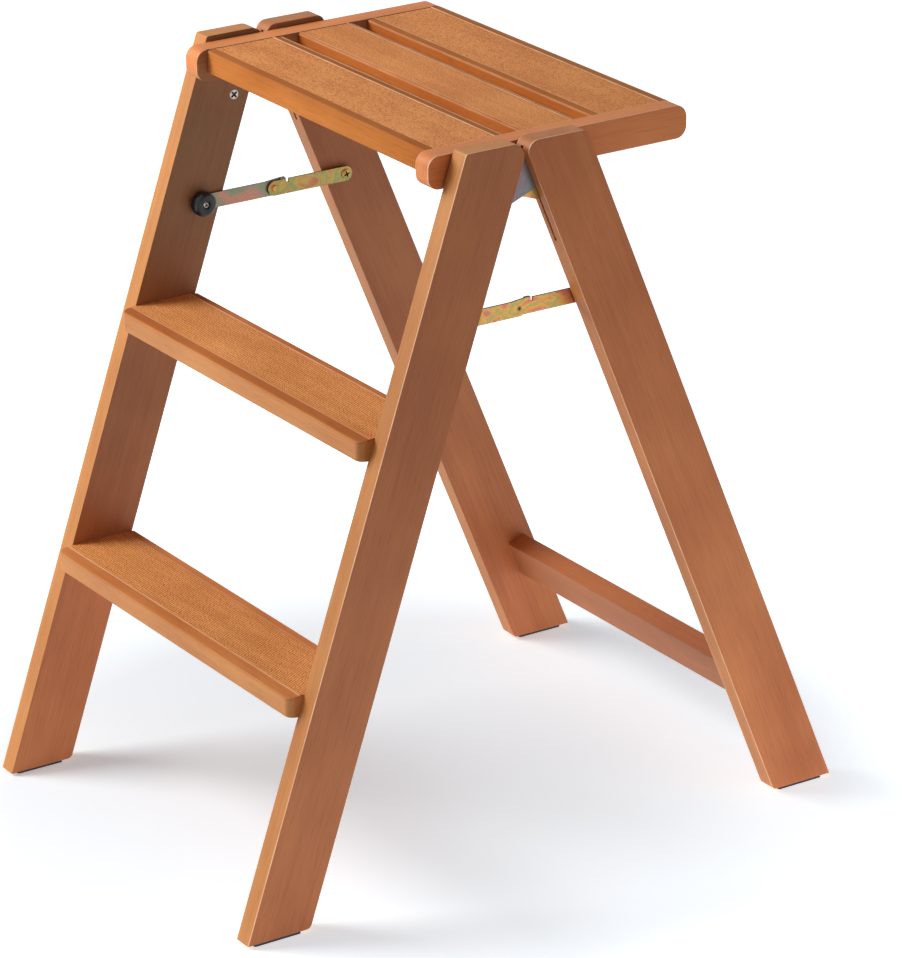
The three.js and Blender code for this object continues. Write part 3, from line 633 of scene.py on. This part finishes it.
def slat(node, bands, face_stain, band_stains, wear_and_highlight, field_wear_and_highlight):
    """bands and band_stains are pairs, for the front and the rear: the smooth bands' widths and
    staining. The last two are pairs too: how much lighter the slat's and the field's edges are
    painted, wear and a painted highlight."""
    low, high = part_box(node)
    rail_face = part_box("right_rail")[0].x
    front, rear, bottom, top = low.y, high.y, low.z, high.z
    field_face = 0

    def section(x):
        nonlocal field_face
        at_joint = abs(x) > rail_face - 0.1 * MM
        pooled = JOINT_STAIN if at_joint else 0.0
        up = top - (JOINT_DROP if at_joint else 0.0)
        edge = up - BAND_DROP - SLAT_ARRIS
        # A slat that stands in a slot has its front face painted darker: painted shade.
        face = {"warm": 1, "stain": max(face_stain, pooled)}
        front_band = {"stain": max(band_stains[0], pooled)}
        front_line = {"arris": field_wear_and_highlight[0],
                      "stain": max(band_stains[0] * (1 - field_wear_and_highlight[0]), pooled)}
        field = {"stain": pooled}
        rear_line = {"arris": field_wear_and_highlight[1], "stain": pooled}
        rear_band = {"stain": max(band_stains[1], pooled)}
        points = arc((front + EASED, bottom + EASED), EASED, 270, 180, 4, **face)
        points.append((front, edge - 1.4 * MM, face))
        points += arc((front + SLAT_ARRIS, edge), SLAT_ARRIS, 180, 95, 4, arris=wear_and_highlight[0],
                      warm=0.5, stain=max(0.15, pooled))
        points.append((front + SLAT_ARRIS + 0.3 * MM, up - BAND_DROP + 0.05 * MM, front_band))
        inner = front + bands[0]
        points += [(inner - LINE, up - 0.1 * MM, front_band),
                   (inner - LINE + 0.3 * MM, up - 0.05 * MM, front_line),
                   (inner, up, front_line),
                   (inner + WALL, up - FIELD_SUNK, field)]
        field_face = len(points)
        points.append((inner + WALL + 0.3 * MM, up - FIELD_SUNK, field))
        inner = rear - bands[1]
        points += [(inner - 2.0 * WALL, up - FIELD_SUNK, field),
                   # The crease at the foot of the rear wall is painted darker: painted shade.
                   (inner - WALL, up - FIELD_SUNK, {"stain": max(0.5, pooled)}),
                   (inner - 0.8 * WALL, up - 0.8 * FIELD_SUNK, rear_line),
                   (inner, up, rear_line),
                   (inner + 0.5 * LINE, up - 0.05 * MM, rear_line),
                   (inner + LINE, up - 0.1 * MM, rear_band)]
        outer = rear - SLAT_ARRIS
        points += [(outer - 1.5 * LINE, up - BAND_DROP + 0.2 * MM, rear_band),
                   (outer - LINE, up - BAND_DROP + 0.1 * MM, {"arris": wear_and_highlight[1], "stain": pooled})]
        points += arc((outer, edge), SLAT_ARRIS, 85, 0, 4, arris=wear_and_highlight[1],
                      stain=max(0.2, pooled))
        points += arc((rear - EASED, bottom + EASED), EASED, 0, -90, 4, stain=0.3)
        return points

    inner = rail_face - JOINT_WIDTH
    swept(node, [-rail_face, -inner, inner, rail_face], section, [MATT_WOOD, SLAT_GRIP],
          lambda index: 1 if index == field_face else 0, ("warm", "stain", "arris"))


slat("front_slat", bands=(7.2 * MM, 10 * MM), face_stain=0.0, band_stains=(0.43, 0.27),
     wear_and_highlight=(0.0, 1.0), field_wear_and_highlight=(0.0, 1.0))
slat("middle_slat", bands=(2.2 * MM, 5.5 * MM), face_stain=0.22, band_stains=(0.0, 0.38),
     wear_and_highlight=(0.4, 0.8), field_wear_and_highlight=(1.0, 0.7))
slat("rear_slat", bands=(8 * MM, 10.5 * MM), face_stain=0.22, band_stains=(0.24, 0.06),
     wear_and_highlight=(0.4, 0.2), field_wear_and_highlight=(1.0, 1.0))

# ---------------------------------------------------------------- stretcher


def stretcher(node):
    """Between the legs' inner faces; its tenons are hidden in them."""
    bm = cad_mesh(node)
    leg_face = abs(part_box("left_rear_leg")[1].x)
    for way in SIDES.values():
        bmesh.ops.bisect_plane(bm, geom=bm.verts[:] + bm.edges[:] + bm.faces[:],
                               plane_co=(-way * (leg_face - 0.05 * MM), 0, 0),
                               plane_no=(-way, 0, 0), clear_outer=True)
    bmesh.ops.holes_fill(bm, edges=bm.edges[:], sides=0)
    # Its front face is painted darker: painted shade.
    deep_shade = bm.faces.layers.float.new("deep_shade")
    for face in bm.faces:
        face[deep_shade] = 1.0 if face.normal.y < -0.5 else 0.0
    mark_board(bm, node, board_axes(bm))
    finish_piece(bm, node, [WOOD])


stretcher("rear_stretcher")

# ---------------------------------------------------------------- round pieces

ROUND = 56                 # points round each ring
ROUND_ANGLE = 30
DARK_RING = 0.75           # painted shade in the countersink round a screw's head


def ring_at(bm, x, centre, radius):
    """A ring of points about the centre (y, z), or one point where the radius is 0."""
    if radius == 0:
        return [bm.verts.new((x, *centre))]
    turns = [2 * math.pi * i / ROUND for i in range(ROUND)]
    return [bm.verts.new((x, centre[0] + radius * math.cos(t), centre[1] + radius * math.sin(t)))
            for t in turns]


def skin_between(bm, first, second):
    """The faces between two rings, either of which may be one point."""
    faces = []
    for i in range(ROUND):
        j = (i + 1) % ROUND
        corners = [first[i % len(first)], first[j % len(first)],
                   second[j % len(second)], second[i % len(second)]]
        faces.append(bm.faces.new(list(dict.fromkeys(corners))))
    return faces


def lathe(node, profile, material, cross=None, dark_rings=()):
    """A round piece on its CAD node's axis across the ladder. profile is a list of
    (radius, depth) in mm from the middle of its head; depth runs towards its board."""
    low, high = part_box(node)
    inward = SIDES[node.split("_")[0]]
    start = high.x if inward > 0 else low.x
    centre = ((low.y + high.y) / 2, (low.z + high.z) / 2)
    bm = bmesh.new()
    rings = [ring_at(bm, start - inward * (depth * MM), centre, radius * MM)
             for radius, depth in profile]
    crevice_shade = bm.faces.layers.float.new("crevice_shade")
    for index, (first, second) in enumerate(zip(rings, rings[1:])):
        for face in skin_between(bm, first, second):
            face[crevice_shade] = DARK_RING if index in dark_rings else 0.0
    if len(rings[0]) > 1:
        skin_between(bm, rings[-1], rings[0])
    piece = finish_piece(bm, node, [material], ROUND_ANGLE)
    if cross:
        cut_cross(piece, Vector((start, *centre)), inward, *cross)


def cut_cross(piece, place, inward, width, blade, depth, angle):
    """Cuts a cross recess, tapering with depth, into the head of a screw. Its width,
    blade and depth are in mm, and its angle is in degrees."""
    bm = bmesh.new()
    for quarter in (0, 90):
        turn = math.radians(angle + quarter)
        along = Vector((0, math.cos(turn), math.sin(turn)))
        across = Vector((0, -math.sin(turn), math.cos(turn)))
        rings = []
        for sunk, share in ((-0.5, 1.1), (depth, 0.45)):
            half, thin = width * MM / 2 * share, blade * MM / 2 * (0.75 + share * 0.25)
            middle = place - Vector((inward * (sunk * MM), 0, 0))
            rings.append([bm.verts.new(middle + along * a * half + across * b * thin)
                          for a, b in ((-1, -1), (1, -1), (1, 1), (-1, 1))])
        top, base = rings
        faces = [bm.faces.new(top), bm.faces.new(base[::-1])]
        faces += [bm.faces.new((top[i], base[i], base[(i + 1) % 4], top[(i + 1) % 4]))
                  for i in range(4)]
        bmesh.ops.recalc_face_normals(bm, faces=faces)
    # The recess is painted dark: painted shade.
    crevice_shade = bm.faces.layers.float.new("crevice_shade")
    for face in bm.faces:
        face[crevice_shade] = 1.0
    mesh = bpy.data.meshes.new("cross")
    bm.to_mesh(mesh)
    bm.free()
    cutter = bpy.data.objects.new("cross", mesh)
    bpy.context.scene.collection.objects.link(cutter)
    cut = piece.modifiers.new("cross", "BOOLEAN")
    cut.operation, cut.solver, cut.use_self = "DIFFERENCE", "EXACT", True
    cut.object = cutter
    piece.modifiers.move(1, 0)     # ahead of the weighted normals
    bpy.context.view_layer.update()
    shaped = bpy.data.meshes.new_from_object(
        piece.evaluated_get(bpy.context.evaluated_depsgraph_get()))
    shaped.name = piece.name
    piece.modifiers.clear()
    piece.data = shaped
    bpy.data.objects.remove(cutter)


# Outlines are (radius, depth) in mm.
COUNTERSUNK = [(0, 0.1), (4.5, 0.12), (4.75, 0.22), (5.0, 0.5), (4.95, 0.75), (2.0, 2.8),
               (2.0, 13.5), (1.2, 14.5), (0, 14.5)]
COUNTERSUNK_DARK = (1, 2)
COUNTERSUNK_CROSS = (7.8, 1.9, 1.9)
CROSS_TURNS = (38, 61, 84)
BUMPER = [(3.65, 2.8), (3.65, 1.0), (3.85, 0.45), (4.4, 0.1), (5.2, 0.0), (7.4, 0.12),
          (9.2, 0.55), (10.4, 1.3), (11.2, 2.4), (11.6, 3.6), (11.75, 4.9), (11.75, 8.5),
          (11.5, 9.2), (11.0, 9.5), (2.45, 9.5), (2.45, 2.8)]
RIVET_HEAD = [(0, 0.35), (1.1, 0.32), (1.5, 0.05), (2.0, 0.0), (2.6, 0.12), (3.0, 0.4),
              (3.25, 0.85), (3.25, 1.2), (2.5, 1.2)]
RIVET_SHANK = 2.5
RIVET_TAIL = [(0.0, 0.04, 1.0), (1.2, 0.04, 1.0), (1.6, 0.12, 0.7), (1.9, 0.20, 0.2),
              (2.4, 0.18, 0.2), (2.7, 0.08, 0.8), (2.8, -0.3, 1.0)]   # radius, height, painted shade
DOME_HEIGHT, DOME_RIM, DOME_STEPS = 2.1, 2.4, 7
SCREW_SHANK, SCREW_POINT, POINT_LENGTH = 2.25, 0.9, 1.5


def domed_screw(radius, length):
    """The outline of a screw with a domed head, from its crown to its point."""
    turns = [math.pi / 2 * i / DOME_STEPS for i in range(DOME_STEPS + 1)]
    dome = [(radius * math.sin(t), DOME_HEIGHT * (1 - math.cos(t))) for t in turns]
    return dome + [(radius, DOME_RIM), (SCREW_SHANK, DOME_RIM),
                   (SCREW_SHANK, length - POINT_LENGTH), (SCREW_POINT, length), (0, length)]


def washer(outer, bore, thick):
    return [(bore, 0.2), (bore + 0.2, 0), (outer - 0.4, 0), (outer - 0.1, 0.1), (outer, 0.4),
            (outer, thick - 0.4), (outer - 0.1, thick - 0.1), (outer - 0.4, thick),
            (bore + 0.2, thick), (bore, thick - 0.2)]


def peg(length):
    return [(0, 0), (3.0, 0), (3.6, 0.25), (4.0, 1.0), (4.0, length - 0.6), (3.4, length),
            (0, length)]


def length_of(node):
    """The CAD node's length across the ladder, in mm."""
    low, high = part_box(node)
    return (high.x - low.x) / MM


def rivet_tail(side):
    """The knee rivet's riveted-over end, a thin dished ring on the front link's far face. Its
    middle and its rim are painted dark: painted shade.
    """
    link_low, link_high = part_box(f"{side}_front_link")
    inward = SIDES[side]
    face = link_low.x if inward > 0 else link_high.x
    low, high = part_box(f"{side}_knee_rivet")
    centre = ((low.y + high.y) / 2, (low.z + high.z) / 2)
    bm = bmesh.new()
    crevice_shade = bm.verts.layers.float.new("crevice_shade")
    rings = []
    for radius, height, dark in RIVET_TAIL:
        rings.append(ring_at(bm, face - inward * height * MM, centre, radius * MM))
        for vert in rings[-1]:
            vert[crevice_shade] = dark
    for first, second in zip(rings, rings[1:]):
        skin_between(bm, first, second)
    bm.faces.new(rings[-1])
    bmesh.ops.recalc_face_normals(bm, faces=bm.faces[:])
    mesh = bpy.data.meshes.new("rivet_tail")
    bm.to_mesh(mesh)
    bm.free()
    mesh.materials.append(ZINC)
    mesh.shade_smooth()
    piece = bpy.data.objects.new(f"{side}_rivet_tail", mesh)
    bpy.context.scene.collection.objects.link(piece)
    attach(piece, body_of_node[f"{side}_front_link"])


# ---------------------------------------------------------------- metalwork

PLATE_EDGE = 0.3 * MM
CUT_EDGE = ("cut_edge", 0.0, 0.0, 1.0)


def metal_plate(node, metal, *marks):
    flat_piece(node, metal, PLATE_EDGE, PLATE_EDGE, METAL_SEGMENTS, [CUT_EDGE, *marks])


for side in SIDES:
    screws = ("stile_lower_plate_screw", "leg_lower_plate_screw", "leg_upper_plate_screw")
    for screw, turn in zip(screws, CROSS_TURNS):
        lathe(f"{side}_{screw}", COUNTERSUNK, STEEL, (*COUNTERSUNK_CROSS, turn),
              COUNTERSUNK_DARK)

    for screw, radius, metal, cross in (("front", 3.25, STEEL, (4.4, 1.2, 1.9, 20)),
                                        ("rear", 4.75, ZINC, (6.8, 1.6, 2.1, 20))):
        node = f"{side}_stay_{screw}_screw"
        lathe(node, domed_screw(radius, length_of(node)), metal, cross)

    lathe(f"{side}_bumper", BUMPER, RUBBER)

    node = f"{side}_knee_rivet"
    length = length_of(node)
    lathe(node, RIVET_HEAD + [(RIVET_SHANK, length), (0, length)], ZINC)

    for spacer, outer, bore, metal in (("platform", 9.0, 4.2, STEEL),
                                       ("stay", 6.0, 2.45, ZINC)):
        node = f"{side}_{spacer}_spacer"
        lathe(node, washer(outer, bore, length_of(node)), metal)

    node = f"{side}_rest_peg"
    lathe(node, peg(length_of(node)), STEEL)

    metal_plate(f"{side}_stile_hinge_plate", ZINC)
    metal_plate(f"{side}_leg_hinge_plate", PALE_ZINC)
    # The left links are painted dimmer: painted shade.
    dim = 1.0 if side == "left" else 0.0
    metal_plate(f"{side}_rear_link", ZINC, ("shade", dim, dim, dim))
    metal_plate(f"{side}_front_link", FADED_ZINC if dim else ZINC, ("shade", dim, dim, dim))
    rivet_tail(side)

# ---------------------------------------------------------------- pads and hidden pieces

PAD_CORNER = 2 * MM
PAD_EDGE = 0.5 * MM


def pad(node):
    bm = cad_mesh(node)
    upright = [e for e in bm.edges if abs((e.verts[0].co - e.verts[1].co).normalized().z) > 0.9]
    bmesh.ops.bevel(bm, geom=upright, offset=PAD_CORNER, segments=4, profile=0.5,
                    affect="EDGES")
    low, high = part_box(node)
    lower = [e for e in bm.edges if all(v.co.z < low.z + 1e-5 for v in e.verts)
             and any(abs(f.normal.z) < 0.1 for f in e.link_faces)]
    bmesh.ops.bevel(bm, geom=lower, offset=PAD_EDGE, segments=2, profile=0.5, affect="EDGES")
    finish_piece(bm, node, [RUBBER])


for side in SIDES:
    for holder in ("stile", "leg"):
        pad(f"{side}_{holder}_pad")

# The CAD nodes that nothing replaces lie inside the wood.
for name, node in frame["nodes"].items():
    if not node.hide_render:
        material = STEEL if name.endswith(("pin", "bolt")) else WOOD
        node.data.materials.clear()
        node.data.materials.append(material)

# ---------------------------------------------------------------- studio

FLOOR_SIZE = 30
FLOOR_COLOUR = (0.79, 0.88, 0.99)
FLOOR_HUE = (0.91, 0.965, 1.0)       # of what the camera sees besides the lit floor
# The white added to the camera's view of the floor is lower near the ladder and grows away from
# it: a painted shadow patch.
FLOOR_TONE = 0.305
FLOOR_RISE, RISE_CENTRE = 0.95, (-0.28, -0.09)     # with the square of the distance
FADE, FADE_FROM, FADE_TO, FADE_CENTRE = 0.4, 0.38, 0.62, (0.02, -0.01)
BOUNCE, BOUNCE_FROM, BOUNCE_TO, BOUNCE_CENTRE = 1.27, 0.30, 1.30, (0.36, 0.36)
BOUNCE_COLOUR = (0.95, 0.97, 1.0)    # of the floor's light on the wood
AMBIENT, AMBIENT_COLOUR = 0.11, (0.88, 0.92, 1.0)


def distance_from(tree, centre):
    moved = put(tree, "ShaderNodeMapping", {"Vector": object_place(tree),
                                            "Location": (-centre[0], -centre[1], 0)})
    length = put(tree, "ShaderNodeVectorMath", {0: moved.outputs[0]}, operation="LENGTH")
    return length.outputs["Value"]


def shown_directly(tree, path):
    """1 for rays from the camera, in reflections and through glass."""
    direct = maths(tree, "MAXIMUM", path["Is Camera Ray"], path["Is Glossy Ray"])
    return maths(tree, "MAXIMUM", direct, path["Is Transmission Ray"])


def make_floor():
    """A whitish floor that keeps its shadow. What the camera sees of it is painted darker near
    the ladder, a painted shadow patch, and goes to white away from it. Its bounce stands for the
    light that a white table throws back onto the ladder."""
    bpy.ops.mesh.primitive_plane_add(size=FLOOR_SIZE)
    floor = bpy.context.object
    floor.name = "floor"
    material, tree, shader = new_material("studio_floor")
    shader.inputs["Base Color"].default_value = (*FLOOR_COLOUR, 1)
    shader.inputs["Roughness"].default_value = 0.9
    shader.inputs["Specular IOR Level"].default_value = 0.1
    path = put(tree, "ShaderNodeLightPath").outputs
    rise = maths(tree, "POWER", distance_from(tree, RISE_CENTRE), 2.0)
    tone = maths(tree, "MULTIPLY_ADD", rise, FLOOR_RISE, FLOOR_TONE)
    away = level(tree, distance_from(tree, FADE_CENTRE), FADE_FROM, FADE_TO, 0.0, FADE)
    tone = maths(tree, "ADD", tone, away, clamp=True)
    tone = maths(tree, "MULTIPLY", tone, shown_directly(tree, path))
    white = put(tree, "ShaderNodeEmission", {"Color": (*FLOOR_HUE, 1), "Strength": tone})
    near = level(tree, distance_from(tree, BOUNCE_CENTRE), BOUNCE_FROM, BOUNCE_TO, BOUNCE, 0.0)
    strength = maths(tree, "MULTIPLY", path["Is Diffuse Ray"], near)
    bounce = put(tree, "ShaderNodeEmission", {"Color": (*BOUNCE_COLOUR, 1),
                                              "Strength": strength})
    shown = put(tree, "ShaderNodeAddShader", {0: shader.outputs[0], 1: white.outputs[0]})
    both = put(tree, "ShaderNodeAddShader", {0: shown.outputs[0], 1: bounce.outputs[0]})
    output = next(n for n in tree.nodes if n.type == "OUTPUT_MATERIAL")
    tree.links.new(both.outputs[0], output.inputs[0])
    floor.data.materials.append(material)


def make_world():
    """White where it is seen directly, and a dim sky for everything else."""
    world = bpy.data.worlds.new("studio")
    world.use_nodes = True
    tree = world.node_tree
    tree.nodes.clear()
    direct = shown_directly(tree, put(tree, "ShaderNodeLightPath").outputs)
    ambient = put(tree, "ShaderNodeBackground", {"Color": (*AMBIENT_COLOUR, 1),
                                                 "Strength": AMBIENT})
    white = put(tree, "ShaderNodeBackground", {"Color": (1, 1, 1, 1), "Strength": 1.0})
    blend = put(tree, "ShaderNodeMixShader", {0: direct, 1: ambient.outputs[0],
                                              2: white.outputs[0]})
    output = tree.nodes.new("ShaderNodeOutputWorld")
    tree.links.new(blend.outputs[0], output.inputs[0])
    bpy.context.scene.world = world


def lamp(name, place, target, size, power, colour):
    data = bpy.data.lights.new(name, "AREA")
    data.shape, data.size = "DISK", size
    data.energy, data.color = power, colour
    light = bpy.data.objects.new(name, data)
    light.location = place
    light.rotation_euler = (Vector(target) - Vector(place)).to_track_quat("-Z", "Y").to_euler()
    light.visible_camera = False
    bpy.context.scene.collection.objects.link(light)


make_floor()
make_world()
lamp("key", (-1.5, -1.7, 1.95), (0, 0, 0.3), size=1.75, power=68, colour=(1.0, 0.95, 0.87))
lamp("fill", (2.2, 1.3, 0.8), (0, 0, 0.4), size=1.6, power=3, colour=(0.96, 0.98, 1.0))
bpy.context.scene.view_settings.view_transform = "Standard"

bpy.context.view_layer.update()
